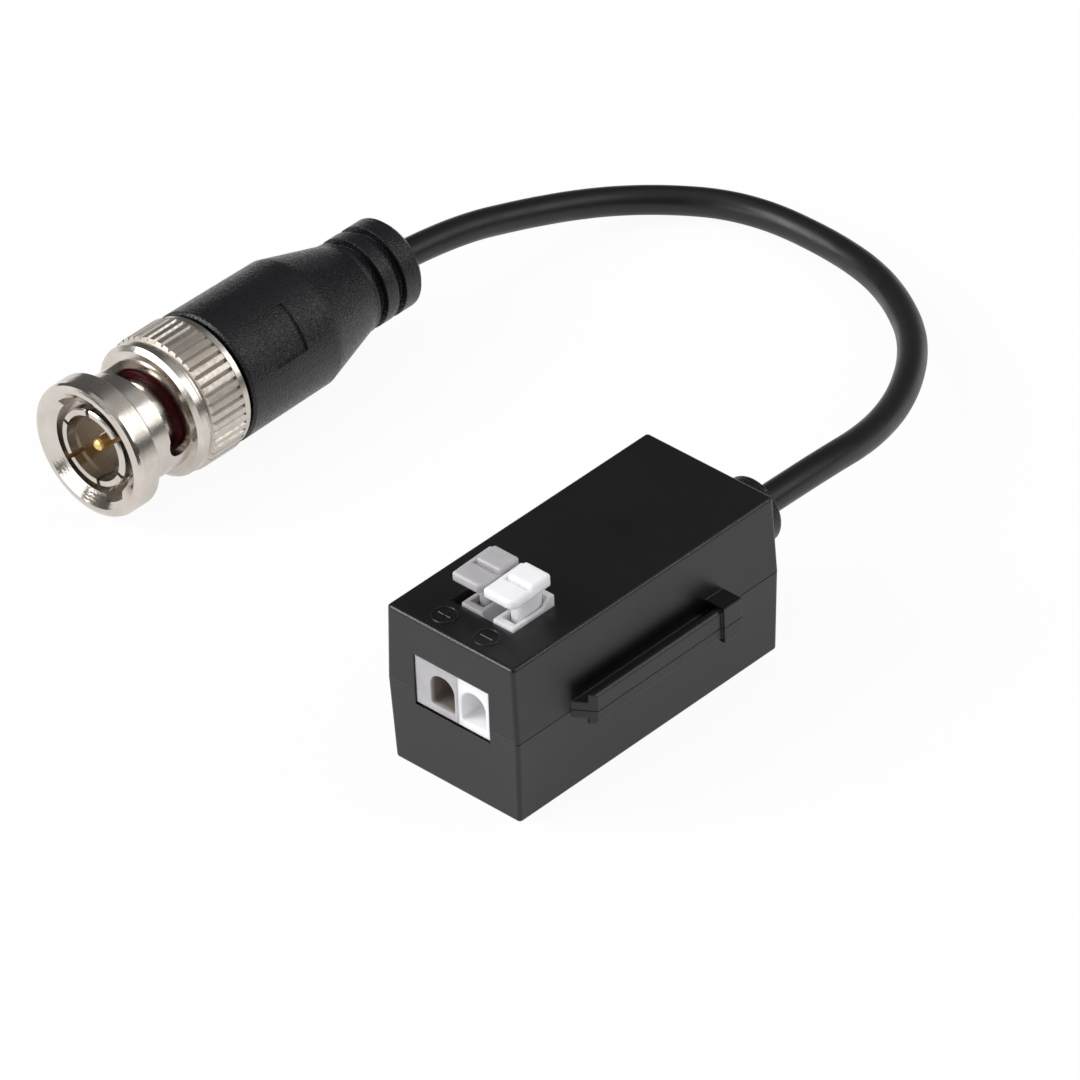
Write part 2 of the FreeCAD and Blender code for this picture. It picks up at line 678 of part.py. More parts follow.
def contact(x):
    """The tinned plate under the wire, with its solder leg."""
    floor = BOARD_TOP + CHAMBER_FLOOR
    plate = box(x - CONTACT_WIDTH / 2, x + CONTACT_WIDTH / 2, CONTACT_FRONT_Y,
                CHAMBER_REAR_Y - BORE_GAP, floor, floor + CONTACT_THICKNESS)
    leg = box(x - LEG_WIDTH / 2, x + LEG_WIDTH / 2, LEG_Y, LEG_Y + LEG_DEPTH,
              BOARD_TOP - BOARD_THICKNESS - LEG_TAIL, floor)
    return plate.fuse(leg).removeSplitter()


def circuit_board():
    board = box(-BOARD_HALF_WIDTH, BOARD_HALF_WIDTH, BOARD_FRONT_Y, BOARD_REAR_Y,
                BOARD_TOP - BOARD_THICKNESS, BOARD_TOP)
    holes = []
    for x in (PLUS_X, MINUS_X):
        centre_y = LEG_Y + LEG_DEPTH / 2
        holes.append(cylinder(LEG_WIDTH / 2 + 2 * BORE_GAP, V(x, centre_y, 0),
                              V(x, centre_y, BOARD_TOP + OVERCUT)))
    return board.cut(holes)


def toroid():
    ring = turned([
        (CORE_BORE, 0), (CORE_RADIUS, 0), (CORE_RADIUS, CORE_HEIGHT), (CORE_BORE, CORE_HEIGHT)])
    edges = [e for e in ring.Edges if e.Curve.TypeId == "Part::GeomCircle"]
    ring = ring.makeChamfer(WIRE, edges)
    ring.translate(V(0, CORE_Y, BOARD_TOP + WIRE + 2 * WIRE_GAP))
    return ring


def winding(side):
    """Separate turns of enamelled wire round one half of the toroid."""
    turns = []
    middle = (CORE_RADIUS + CORE_BORE) / 2
    half = (CORE_RADIUS - CORE_BORE) / 2 + WIRE_GAP
    top = CORE_HEIGHT + WIRE_GAP
    for i in range(TURNS):
        outer = box(-half - WIRE, half + WIRE, -WIRE / 2, WIRE / 2, -WIRE_GAP - WIRE, top + WIRE)
        inner = box(-half, half, -WIRE, WIRE, -WIRE_GAP, top)
        loop = outer.cut(inner)
        loop.translate(V(middle, 0, BOARD_TOP + WIRE + 2 * WIRE_GAP))
        angle = side * 90 + (i - (TURNS - 1) / 2) * TURN_ANGLE
        loop.rotate(V(0, 0, 0), V(0, 0, 1), angle)
        loop.translate(V(0, CORE_Y, 0))
        turns.append(loop)
    return Part.Compound(turns)


def surge_disc():
    """A disc suppressor standing on its two leads."""
    z = BOARD_TOP + DISC_RADIUS + WIRE
    edge = DISC_THICKNESS / 3
    disc = turned([
        (0, 0), (DISC_RADIUS - edge, 0), (DISC_RADIUS, edge), (DISC_RADIUS, DISC_THICKNESS - edge),
        (DISC_RADIUS - edge, DISC_THICKNESS), (0, DISC_THICKNESS)])
    disc.rotate(V(0, 0, 0), V(1, 0, 0), -90)
    disc.translate(V(0, DISC_Y, z))
    leads = []
    middle_y = DISC_Y + DISC_THICKNESS / 2
    for x in (-DISC_RADIUS / 2, DISC_RADIUS / 2):
        leads.append(cylinder(WIRE, V(x, middle_y, BOARD_TOP), V(x, middle_y, z)))
    return disc.fuse(leads)


def chips():
    """The chip capacitors and resistors, as one group of separate solids."""
    solids = []
    for x in (-CHIP_LENGTH, 0, CHIP_LENGTH):
        y = DISC_Y + DISC_THICKNESS + CHIP_LENGTH
        solids.append(box(x - CHIP_WIDTH / 2, x + CHIP_WIDTH / 2, y - CHIP_LENGTH / 2,
                          y + CHIP_LENGTH / 2, BOARD_TOP, BOARD_TOP + CHIP_HEIGHT))
    return Part.Compound(solids)


def strain_relief():
    """A one-piece grommet: inner flange, neck in the wall and outer boss."""
    rear = HALF_LENGTH + NECK_GAP
    end_y = rear + BOSS_LENGTH
    centre = PARTING_HEIGHT
    flange = cylinder(FLANGE_RADIUS, V(0, GROMMET_INNER_Y, centre), V(0, GROMMET_SEAT_Y, centre))
    boss = cylinder(BOSS_RADIUS, V(0, rear, centre), V(0, end_y, centre))
    rim = [e for e in boss.Edges if abs(e.BoundBox.YMin - end_y) < 1e-4]
    boss = boss.makeFillet(BOSS_EDGE, rim)
    neck = cylinder(NECK_RADIUS, V(0, GROMMET_INNER_Y, centre), V(0, rear + WALL, centre))
    bore = cylinder(CABLE_RADIUS + BORE_GAP, V(0, GROMMET_INNER_Y - OVERCUT, centre),
                    V(0, end_y + OVERCUT, centre))
    return flange.fuse([neck, boss]).cut(bore).removeSplitter()


def cable():
    solid, path, radii = tube(ROUTE, CABLE_RADIUS, share=ARC_SHARE)
    wanted = math.pi * CABLE_RADIUS ** 2 * path.Length
    print("cable length", round(path.Length, 1), "mm, volume over section times length",
          round(solid.Volume / wanted, 5), ", arc radii", [round(r, 1) for r in radii])
    return solid


def lead_to_board(x, z, radius):
    """A wire from the cable's end that comes down and lies on the board."""
    start = GROMMET_INNER_Y
    low = BOARD_TOP + radius + BORE_GAP
    points = [
        (x, start, z),
        (x, start - LEAD_STEP, z),
        (x, start - 2 * LEAD_STEP, low),
        (x, start - 3 * LEAD_STEP, low),
    ]
    return tube(points, radius, bend=LEAD_BEND)[0]


def inner_core():
    """The cable's insulated inner conductor."""
    half = CORE_WIRE_RADIUS / 2
    return lead_to_board(-half, PARTING_HEIGHT + half, CORE_WIRE_RADIUS)


def braid_tail():
    """The cable's screen, twisted to a tail beside the inner conductor."""
    return lead_to_board(CABLE_RADIUS - BRAID_RADIUS, PARTING_HEIGHT, BRAID_RADIUS)


def helical_slot():
    """One cam slot through the nut's neck, with its entry channel and detent."""
    sweep = -ENTRY_ANGLE
    climb = SLOT_END_T - SLOT_ENTRY_T
    pitch = climb * 360 / sweep
    helix = Part.makeHelix(pitch, climb, NUT_NECK_RADIUS)
    inner = NUT_BORE - OVERCUT
    outer = NUT_NECK_RADIUS + OVERCUT
    corners = [
        V(inner, 0, -SLOT_WIDTH / 2), V(outer, 0, -SLOT_WIDTH / 2),
        V(outer, 0, SLOT_WIDTH / 2), V(inner, 0, SLOT_WIDTH / 2)]
    section = Part.makePolygon(corners + [corners[0]])
    track = Part.Wire(helix).makePipeShell([section], True, True)
    track.translate(V(0, 0, SLOT_ENTRY_T))
    track.rotate(V(0, 0, 0), V(0, 0, 1), ENTRY_ANGLE)
    detent = cylinder(DETENT_RADIUS, V(inner, 0, DETENT_T), V(outer, 0, DETENT_T))
    start = cylinder(SLOT_WIDTH / 2, V(inner, 0, SLOT_ENTRY_T), V(outer, 0, SLOT_ENTRY_T))
    channel = cylinder(LUG_RADIUS, V(0, 0, -OVERCUT), V(0, 0, SLOT_ENTRY_T))
    channel = channel.common(box(0, outer, -SLOT_WIDTH / 2, SLOT_WIDTH / 2, -OVERCUT, SLOT_ENTRY_T))
    for piece in (start, channel):
        piece.rotate(V(0, 0, 0), V(0, 0, 1), ENTRY_ANGLE)
    return track.fuse([detent, start, channel])


def coupling_nut():
    """The bayonet nut: flange, slotted neck, shoulder, knurled ring and rim."""
    chamfer = NUT_CHAMFER
    web_t = BODY_FLANGE_T - STACK_GAP
    blank = turned([
        (NUT_MOUTH_RADIUS, 0),
        (NUT_RADIUS - NUT_NOSE, 0),
        (NUT_RADIUS - NUT_NOSE * 0.3, NUT_NOSE * 0.3),
        (NUT_RADIUS, NUT_NOSE),
        (NUT_RADIUS, NUT_FLANGE - chamfer),
        (NUT_RADIUS - chamfer, NUT_FLANGE),
        (NUT_NECK_RADIUS + chamfer, NUT_FLANGE),
        (NUT_NECK_RADIUS, NUT_FLANGE + chamfer),
        (NUT_NECK_RADIUS, NUT_SHOULDER_T),
        (NUT_SHOULDER_RADIUS - 2 * chamfer, NUT_SHOULDER_T + chamfer / 2),
        (NUT_SHOULDER_RADIUS, NUT_SHOULDER_T + 2 * chamfer),
        (NUT_SHOULDER_RADIUS, KNURL_START - 2 * chamfer),
        (NUT_SHOULDER_RADIUS - chamfer, KNURL_START - chamfer),
        (NUT_SHOULDER_RADIUS - chamfer, KNURL_START),
        (KNURL_RADIUS, KNURL_START + chamfer),
        (KNURL_RADIUS, KNURL_END),
        (NUT_RIM_RADIUS, KNURL_END + chamfer),
        (NUT_RIM_RADIUS, NUT_LENGTH - chamfer),
        (NUT_RIM_RADIUS - chamfer, NUT_LENGTH),
        (NUT_CAVITY_RADIUS, NUT_LENGTH),
        (NUT_CAVITY_RADIUS, RING_T + RING_THICKNESS + STACK_GAP),
        (NUT_GROOVE_RADIUS, RING_T + RING_THICKNESS + STACK_GAP),
        (NUT_GROOVE_RADIUS, RING_T),
        (NUT_CAVITY_RADIUS, RING_T),
        (NUT_CAVITY_RADIUS, web_t),
        (NUT_BORE, web_t),
        (NUT_BORE, NUT_MOUTH_DEPTH),
    ])
    slot = helical_slot()
    other = slot.copy()
    other.rotate(V(0, 0, 0), V(0, 0, 1), 180)
    blank = blank.cut([slot, other])
    grooves = []
    half_angle = math.radians(180 / KNURL_COUNT) * KNURL_SHARE
    root = KNURL_RADIUS - KNURL_DEPTH
    reach = KNURL_RADIUS + KNURL_DEPTH
    for i in range(KNURL_COUNT):
        groove_cut = prism(
            [
                V(root, 0, KNURL_START),
                V(reach, 2 * reach * math.tan(half_angle), KNURL_START),
                V(reach, -2 * reach * math.tan(half_angle), KNURL_START),
            ],
            V(0, 0, KNURL_END - KNURL_START),
        )
        groove_cut.rotate(V(0, 0, 0), V(0, 0, 1), i * 360 / KNURL_COUNT)
        grooves.append(groove_cut)
    return on_plug(blank.cut(grooves))


def plug_body():
    """The turned body: six sprung fingers, flange, barrel and cable stem."""
    flange_end = BODY_FLANGE_T + BODY_FLANGE_THICKNESS
    blank = turned([
        (SHELL_BORE - SHELL_LIP, SHELL_TIP_T),
        (SHELL_RADIUS, SHELL_TIP_T),
        (SHELL_RADIUS + SHELL_LIP, SHELL_TIP_T + SHELL_LIP),
        (SHELL_RADIUS + SHELL_LIP, SHELL_TIP_T + SHELL_BEAD),
        (SHELL_RADIUS, SHELL_TIP_T + SHELL_BEAD + SHELL_BEAD_FADE),
        (SHELL_RADIUS, BODY_FLANGE_T),
        (BODY_FLANGE_RADIUS, BODY_FLANGE_T),
        (BODY_FLANGE_RADIUS, flange_end),
        (BARREL_RADIUS, flange_end),
        (BARREL_RADIUS, BARREL_END),
        (STEM_RADIUS, BARREL_END),
        (STEM_RADIUS, STEM_END),
        (CABLE_RADIUS, STEM_END),
        (CABLE_RADIUS, CABLE_END_T - TUBE_GAP),
        (CORE_WIRE_RADIUS + BORE_GAP, CABLE_END_T - TUBE_GAP),
        (CORE_WIRE_RADIUS + BORE_GAP, PIN_END + TUBE_GAP),
        (STEM_BORE, PIN_END + TUBE_GAP),
        (STEM_BORE, INSULATOR_REAR),
        (SHELL_BORE, INSULATOR_REAR),
        (SHELL_BORE, SHELL_TIP_T + SHELL_BEAD + SHELL_BEAD_FADE),
        (SHELL_BORE - SHELL_LIP, SHELL_TIP_T + SHELL_BEAD),
    ])
    slots = []
    for i in range(FINGER_COUNT):
        slot = box(SHELL_BORE - OVERCUT, SHELL_RADIUS + OVERCUT, -FINGER_SLOT / 2, FINGER_SLOT / 2,
                   0, SHELL_TIP_T + FINGER_LENGTH)
        slot.rotate(V(0, 0, 0), V(0, 0, 1), FINGER_ANGLE + i * 360 / FINGER_COUNT)
        slots.append(slot)
    return on_plug(blank.cut(slots))


def insulator():
    return on_plug(turned([
        (PIN_ROOT_RADIUS + BORE_GAP, INSULATOR_FRONT),
        (SHELL_BORE - BORE_GAP, INSULATOR_FRONT),
        (SHELL_BORE - BORE_GAP, INSULATOR_REAR),
        (PIN_COLLAR_RADIUS + BORE_GAP, INSULATOR_REAR),
        (PIN_COLLAR_RADIUS + BORE_GAP, PIN_COLLAR_T),
        (PIN_ROOT_RADIUS + BORE_GAP, PIN_COLLAR_T),
    ]))


def centre_pin():
    """The plated pin: a rounded nose, a plain shank, its root and a collar."""
    return on_plug(turned([
        (0, PIN_TIP_T),
        (PIN_RADIUS * 0.5, PIN_TIP_T + PIN_NOSE * 0.13),
        (PIN_RADIUS * 0.85, PIN_TIP_T + PIN_NOSE * 0.47),
        (PIN_RADIUS, PIN_TIP_T + PIN_NOSE),
        (PIN_RADIUS, INSULATOR_FRONT),
        (PIN_ROOT_RADIUS, INSULATOR_FRONT),
        (PIN_ROOT_RADIUS, PIN_COLLAR_T + BORE_GAP),
        (PIN_COLLAR_RADIUS, PIN_COLLAR_T + BORE_GAP),
        (PIN_COLLAR_RADIUS, PIN_END),
        (0, PIN_END),
    ]))


def gasket():
    return on_plug(turned([
        (SHELL_RADIUS + BORE_GAP, GASKET_T),
        (NUT_BORE - GASKET_GAP, GASKET_T),
        (NUT_BORE - GASKET_GAP, BODY_FLANGE_T),
        (SHELL_RADIUS + BORE_GAP, BODY_FLANGE_T),
    ]))


def wavy_edge(radius, height):
    """A closed curve that rises and falls as it goes round."""
    steps = WAVE_STEPS * WAVE_COUNT
    swing = (WAVE_HEIGHT - WAVE_SHEET) / 2
    points = []
    for i in range(steps):
        angle = 2 * math.pi * i / steps
        rise = height + swing * (1 + math.cos(WAVE_COUNT * angle))
        points.append(V(radius * math.cos(angle), radius * math.sin(angle), rise))
    curve = Part.BSplineCurve()
    curve.interpolate(points, PeriodicFlag=True)
    return curve.toShape()


def wave_washer():
    """A ring of spring sheet in waves, between the body's flange and the washer."""
    base = BODY_FLANGE_T + BODY_FLANGE_THICKNESS
    inner = RING_BORE
    outer = NUT_CAVITY_RADIUS - GASKET_GAP
    low_in = wavy_edge(inner, base)
    low_out = wavy_edge(outer, base)
    high_in = wavy_edge(inner, base + WAVE_SHEET)
    high_out = wavy_edge(outer, base + WAVE_SHEET)
    return on_plug(closed_solid([
        Part.makeRuledSurface(low_in, low_out),
        Part.makeRuledSurface(high_in, high_out),
        Part.makeRuledSurface(low_in, high_in),
        Part.makeRuledSurface(low_out, high_out),
    ]))


def washer_ring(start, thickness, inner, outer):
    return turned([(inner, start), (outer, start), (outer, start + thickness), (inner, start + thickness)])


def thrust_washer():
    return on_plug(washer_ring(WASHER_T, WASHER_THICKNESS, RING_BORE, NUT_CAVITY_RADIUS - STACK_GAP))


def retaining_ring():
    """A split ring sprung into the nut's groove."""
    ring = washer_ring(RING_T, RING_THICKNESS, RING_BORE, NUT_GROOVE_RADIUS - STACK_GAP)
    reach = 2 * NUT_RADIUS
    spread = reach * math.tan(math.radians(RING_GAP_ANGLE / 2))
    gap = prism([V(0, 0, RING_T), V(reach, spread, RING_T), V(reach, -spread, RING_T)],
                V(0, 0, RING_THICKNESS))
    return on_plug(ring.cut(gap))


def crimp_ferrule():
    inner = CABLE_RADIUS + BORE_GAP
    return on_plug(washer_ring(FERRULE_FRONT, FERRULE_END - FERRULE_FRONT, inner, FERRULE_RADIUS))


def plug_core():
    """The cable's inner conductor between the cable's end and the pin."""
    return on_plug(cylinder(CORE_WIRE_RADIUS, V(0, 0, PIN_END), V(0, 0, CABLE_END_T)))


def blank_panel():
    """The shallow window in the boot's barrel, bounded by its two standing sides."""
    ring = washer_ring(PANEL_START, PANEL_END - PANEL_START, BOOT_REAR_RADIUS - PANEL_DEPTH,
                       BOOT_RADIUS + OVERCUT)
    corners = [V(0, 0, PANEL_START)]
    for angle in PANEL_ANGLES:
        turn = math.radians(angle)
        corners.append(V(2 * BOOT_RADIUS * math.cos(turn), 2 * BOOT_RADIUS * math.sin(turn), PANEL_START))
    return ring.common(prism(corners, V(0, 0, PANEL_END - PANEL_START)))


def boot():
    """The overmoulded grip: plain barrel, cone and a ringed neck."""
    profile = [(BARREL_RADIUS + BORE_GAP, BOOT_FRONT)]
    profile += [
        (BOOT_RADIUS - BOOT_EDGE / 2, BOOT_FRONT),
        (BOOT_RADIUS, BOOT_FRONT + BOOT_EDGE / 2),
        (BOOT_REAR_RADIUS, BOOT_TAPER_T),
        (BOOT_NECK_RADIUS, BOOT_NECK_T)]
    for start in BOOT_GROOVES:
        profile += [
            (BOOT_NECK_RADIUS, start),
            (BOOT_GROOVE_RADIUS, start),
            (BOOT_GROOVE_RADIUS, start + BOOT_GROOVE_WIDTH),
            (BOOT_NECK_RADIUS, start + BOOT_GROOVE_WIDTH)]
    profile += [
        (BOOT_NECK_RADIUS, BOOT_END - BOOT_EDGE),
        (BOOT_NECK_RADIUS - BOOT_EDGE, BOOT_END),
        (CABLE_RADIUS + BORE_GAP, BOOT_END)]
    profile += [
        (CABLE_RADIUS + BORE_GAP, FERRULE_END + BORE_GAP),
        (FERRULE_RADIUS + BORE_GAP, FERRULE_END + BORE_GAP),
        (FERRULE_RADIUS + BORE_GAP, STEM_END + BORE_GAP),
        (STEM_RADIUS + BORE_GAP, STEM_END + BORE_GAP),
        (STEM_RADIUS + BORE_GAP, BARREL_END + BORE_GAP),
        (BARREL_RADIUS + BORE_GAP, BARREL_END + BORE_GAP)]
    return on_plug(turned(profile).cut(blank_panel()))


def build():
    split = PLUS_X + POLE_PITCH / 2
    return {
        "upper_shell": upper_shell(),
        "lower_shell": lower_shell(),
        "terminal_block_plus": terminal_block(PLUS_X, -TERMINAL_HALF, split),
        "terminal_block_minus": terminal_block(MINUS_X, split, TERMINAL_HALF),
        "lever_plus": lever(PLUS_X),
        "lever_minus": lever(MINUS_X),
        "clamp_spring_plus": clamp_spring(PLUS_X),
        "clamp_spring_minus": clamp_spring(MINUS_X),
        "contact_plus": contact(PLUS_X),
        "contact_minus": contact(MINUS_X),
        "circuit_board": circuit_board(),
        "transformer_core": toroid(),
        "line_winding": winding(-1),
        "coax_winding": winding(1),
        "surge_suppressor": surge_disc(),
        "chip_components": chips(),
        "strain_relief": strain_relief(),
        "cable": cable(),
        "inner_core": inner_core(),
        "braid_tail": braid_tail(),
        "boot": boot(),
        "plug_body": plug_body(),
        "insulator": insulator(),
        "centre_pin": centre_pin(),
        "plug_core": plug_core(),
        "crimp_ferrule": crimp_ferrule(),
        "gasket": gasket(),
        "coupling_nut": coupling_nut(),
        "wave_washer": wave_washer(),
        "thrust_washer": thrust_washer(),
        "retaining_ring": retaining_ring(),
    }


os.makedirs("parts", exist_ok=True)
for name, shape in build().items():
    if not shape.isValid() or shape.Volume <= 0:
        print("check", name, "valid", shape.isValid(), "volume", shape.Volume)
    shape.exportStep("parts/" + name + ".step")
    print(name, "solids", len(shape.Solids), "volume", round(shape.Volume, 2))
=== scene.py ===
"""A video balun on its pigtail, dressed for the camera.

Sizes on the part are written in millimetres, which MM turns to the scene's metres.
The studio's own sizes are in metres.
"""
import math
import bpy
from mathutils import Matrix, Vector


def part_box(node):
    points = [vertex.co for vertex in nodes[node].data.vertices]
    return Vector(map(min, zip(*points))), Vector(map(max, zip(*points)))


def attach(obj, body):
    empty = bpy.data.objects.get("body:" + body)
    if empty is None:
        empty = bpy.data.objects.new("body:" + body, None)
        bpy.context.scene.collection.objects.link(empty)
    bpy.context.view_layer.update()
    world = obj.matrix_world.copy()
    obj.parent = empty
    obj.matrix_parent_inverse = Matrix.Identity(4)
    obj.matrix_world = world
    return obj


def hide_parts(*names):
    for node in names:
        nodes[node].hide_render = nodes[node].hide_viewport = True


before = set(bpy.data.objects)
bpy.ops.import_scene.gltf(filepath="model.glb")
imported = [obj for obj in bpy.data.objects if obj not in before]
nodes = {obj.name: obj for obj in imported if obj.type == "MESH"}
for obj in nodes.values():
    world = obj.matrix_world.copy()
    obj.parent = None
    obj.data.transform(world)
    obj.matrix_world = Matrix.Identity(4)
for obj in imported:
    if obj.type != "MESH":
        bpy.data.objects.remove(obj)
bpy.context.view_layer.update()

MM = 0.001


def corners(name):
    """The lowest and the highest corner of a CAD node, in millimetres."""
    return [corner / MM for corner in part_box(name)]


# Camera, at the photograph's viewing angle
CAMERA_PLACE = Vector((573.75, -585.41, 621.64)) * MM
CAMERA_RIGHT = Vector((0.72921, 0.68331, -0.03669))
CAMERA_UP = Vector((-0.38374, 0.45273, 0.80485))
CAMERA_BACK = Vector((0.56657, -0.57282, 0.59235))
LENS_MM = 366.55
SENSOR_MM = 36.0

# The terminal, in millimetres: where painted shade darkens its wire entries, and its edges
ENTRY_MOUTH_Y = corners("terminal_block_plus")[0].y + 0.1
ENTRY_INNER_Y = ENTRY_MOUTH_Y + 0.5
ENTRY_TOP_Z = 13.4
MOULDED_EDGE = 0.2

# The shells, in millimetres: their top, their worn edges and the joint line between them
TOP_Z = corners("upper_shell")[1].z
PARTING_HEIGHT = 9.25
EDGE_WEAR = 0.22
TOP_EDGE_WEAR = 0.45
TOP_EDGE = 0.3
TOP_EDGE_FADE = 1.0
SEAM_FROM_X = 8.0
SEAM_HALF = 0.05

# The boot's shoulder, where its barrel turns into the taper, in millimetres
SHOULDER_Y = corners("boot")[0].y + 12.0
SHOULDER_SOFT = 1.6
SHOULDER_FADE = 1.0
BOOT_EDGE_SOFT = 0.15

# The nut's knurl and its polished mouth, in millimetres
KNURL_Y = 3.25
KNURL_HALF = 2.15
POLISHED_TO_Y = corners("coupling_nut")[0].y + 0.6
POLISH_FADE = 0.2

# The polarity marks on the upper shell, in millimetres
MARK_Y = corners("upper_shell")[0].y + 2.42
PLUS_MARK_X = -2.74
MINUS_MARK_X = 2.58
MARK_RADIUS = 1.22
MARK_LINE = 0.11
MARK_ARM = 0.78
MARK_STEPS = 48

# The cable, its way out of the grommet and into the plug, and its route, in millimetres
CABLE_RADIUS = 1.5
PLUG_X = -56.7
PLUG_Z = 7.25
ROUTE_MM = [
    (0.0, 14.607, PARTING_HEIGHT),
    (0.0, 30.2, PARTING_HEIGHT),
    (-2.4, 45.3, 5.9),
    (-10.2, 58.4, 3.8),
    (-20.5, 66.1, 2.2),
    (-30.0, 68.9, 1.5),
    (-41.9, 68.5, 1.5),
    (-50.0, 62.5, 2.0),
    (-54.1, 53.2, 4.0),
    (PLUG_X, 38.0, PLUG_Z),
    (PLUG_X, 24.6, PLUG_Z),
]

# The studio: what the lamps aim at, and how white the sweep and the room are in each kind of ray
LAMP_AIM = Vector((-25, 20, 5)) * MM
SWEEP_REACH = 3.0
SWEEP_SEEN = 0.94
SWEEP_MIRRORED = 0.65
ROOM_FILL = 0.4
ROOM_MIRRORED = 0.11


def colour(hex_text):
    """An sRGB colour such as '1c1d1f', as linear red, green, blue and alpha."""
    channels = [int(hex_text[i:i + 2], 16) / 255 for i in (0, 2, 4)]
    linear = [c / 12.92 if c <= 0.04045 else ((c + 0.055) / 1.055) ** 2.4 for c in channels]
    return (*linear, 1.0)


def add(tree, kind, inputs=None, **settings):
    """One shader node.  Each input is a value, or another node's socket to link."""
    made = tree.nodes.new(kind)
    for name, value in settings.items():
        setattr(made, name, value)
    for name, value in (inputs or {}).items():
        if isinstance(value, bpy.types.NodeSocket):
            tree.links.new(value, made.inputs[name])
        else:
            made.inputs[name].default_value = value
    return made


def new_material(name, base, roughness, **sockets):
    """A material with one Principled shader, and its tree and shader."""
    material = bpy.data.materials.new(name)
    material.use_nodes = True
    material.diffuse_color = base
    tree = material.node_tree
    shader = tree.nodes["Principled BSDF"]
    shader.inputs["Base Color"].default_value = base
    shader.inputs["Roughness"].default_value = roughness
    for key, value in sockets.items():
        shader.inputs[key.replace("_", " ")].default_value = value
    return material, tree, shader


def in_millimetres(tree):
    """The object's own coordinates, scaled so that one unit is a millimetre."""
    place = add(tree, "ShaderNodeTexCoord")
    scaled = add(tree, "ShaderNodeVectorMath", {0: place.outputs["Object"], "Scale": 1 / MM},
                 operation="SCALE")
    return scaled.outputs["Vector"]


def vary(tree, where, size_mm, low, high):
    """A slow drift between two values, in patches of about the given size."""
    # the noise seldom leaves the range from 0.3 to 0.7
    noise = add(tree, "ShaderNodeTexNoise", {"Vector": where, "Scale": 1 / size_mm, "Detail": 3.0})
    spread = add(tree, "ShaderNodeMapRange", {"Value": noise.outputs["Fac"], "From Min": 0.3,
                                              "From Max": 0.7, "To Min": low, "To Max": high})
    return spread.outputs["Result"]


def clouded(tree, where, size_mm, pale, deep):
    """A colour that drifts between two hex shades, in patches of about the given size."""
    drift = vary(tree, where, size_mm, 0.0, 1.0)
    mix = add(tree, "ShaderNodeMix", {0: drift, 6: colour(pale), 7: colour(deep)}, data_type="RGBA")
    return mix.outputs[2]


def grain(tree, shader, where, size_mm, height_mm, strength, detail=2.0):
    """A fine bump of about one grain size as the shader's normal, given back to be built on."""
    noise = add(tree, "ShaderNodeTexNoise", {"Vector": where, "Scale": 1 / size_mm, "Detail": detail})
    bump = add(tree, "ShaderNodeBump", {"Height": noise.outputs["Fac"], "Strength": strength,
                                        "Distance": height_mm * MM})
    tree.links.new(bump.outputs["Normal"], shader.inputs["Normal"])
    return bump


def seam(tree, where):
    """1 on the fine joint line between the two shells, along the housing's sides, and 0 elsewhere."""
    apart = add(tree, "ShaderNodeSeparateXYZ", {"Vector": where})
    side = add(tree, "ShaderNodeMath", {0: apart.outputs["X"]}, operation="ABSOLUTE")
    on_side = add(tree, "ShaderNodeMath", {0: side.outputs[0], 1: SEAM_FROM_X}, operation="GREATER_THAN")
    level = add(tree, "ShaderNodeMath", {0: apart.outputs["Z"], 1: PARTING_HEIGHT, 2: SEAM_HALF},
                operation="COMPARE")
    both = add(tree, "ShaderNodeMath", {0: on_side.outputs[0], 1: level.outputs[0]}, operation="MULTIPLY")
    return both.outputs[0]


def on_top_edge(tree, where):
    """1 on the rounded edge round the top, which handling has rubbed smooth, and 0 elsewhere."""
    apart = add(tree, "ShaderNodeSeparateXYZ", {"Vector": where})
    # 0.48 is a little under half of the edge, so that the flat top stays out
    level = add(tree, "ShaderNodeMath", {0: apart.outputs["Z"], 1: TOP_Z - TOP_EDGE / 2, 2: 0.48 * TOP_EDGE},
                operation="COMPARE")
    return level.outputs[0]


def edge_wear(tree, where):
    """How far the housing's edges look rounded, in metres: wider round the top than elsewhere."""
    apart = add(tree, "ShaderNodeSeparateXYZ", {"Vector": where})
    radius = add(tree, "ShaderNodeMapRange", {"Value": apart.outputs["Z"], "From Min": TOP_Z - TOP_EDGE_FADE,
                                              "From Max": TOP_Z - TOP_EDGE, "To Min": EDGE_WEAR * MM,
                                              "To Max": TOP_EDGE_WEAR * MM})
    return radius.outputs["Result"]


def spark_eroded_abs():
    """Black ABS from a spark-eroded mould: a fine even grain that blurs what it mirrors."""
    material, tree, shader = new_material("spark_eroded_abs", colour("0f0f11"), 0.34, IOR=1.5)
    where = in_millimetres(tree)
    # the real grain is about 0.02 mm, and it is drawn at 0.14 mm so that it shows
    bump = grain(tree, shader, where, 0.14, 0.02, 0.8)
    worn = add(tree, "ShaderNodeBevel", {"Radius": edge_wear(tree, where)}, samples=8)
    tree.links.new(worn.outputs["Normal"], bump.inputs["Normal"])
    dull = vary(tree, where, 6.0, 0.32, 0.36)
    rubbed = vary(tree, where, 0.3, 0.16, 0.34)
    skin = add(tree, "ShaderNodeMix", {0: on_top_edge(tree, where), 2: dull, 3: rubbed})
    joint = seam(tree, where)
    finish = add(tree, "ShaderNodeMix", {0: joint, 2: skin.outputs[0], 3: 1.0})
    tree.links.new(finish.outputs[0], shader.inputs["Roughness"])
    shade = clouded(tree, where, 9.0, "0d0d0f", "121214")
    mix = add(tree, "ShaderNodeMix", {0: joint, 6: shade, 7: colour("000000")}, data_type="RGBA")
    tree.links.new(mix.outputs[2], shader.inputs["Base Color"])
    return material


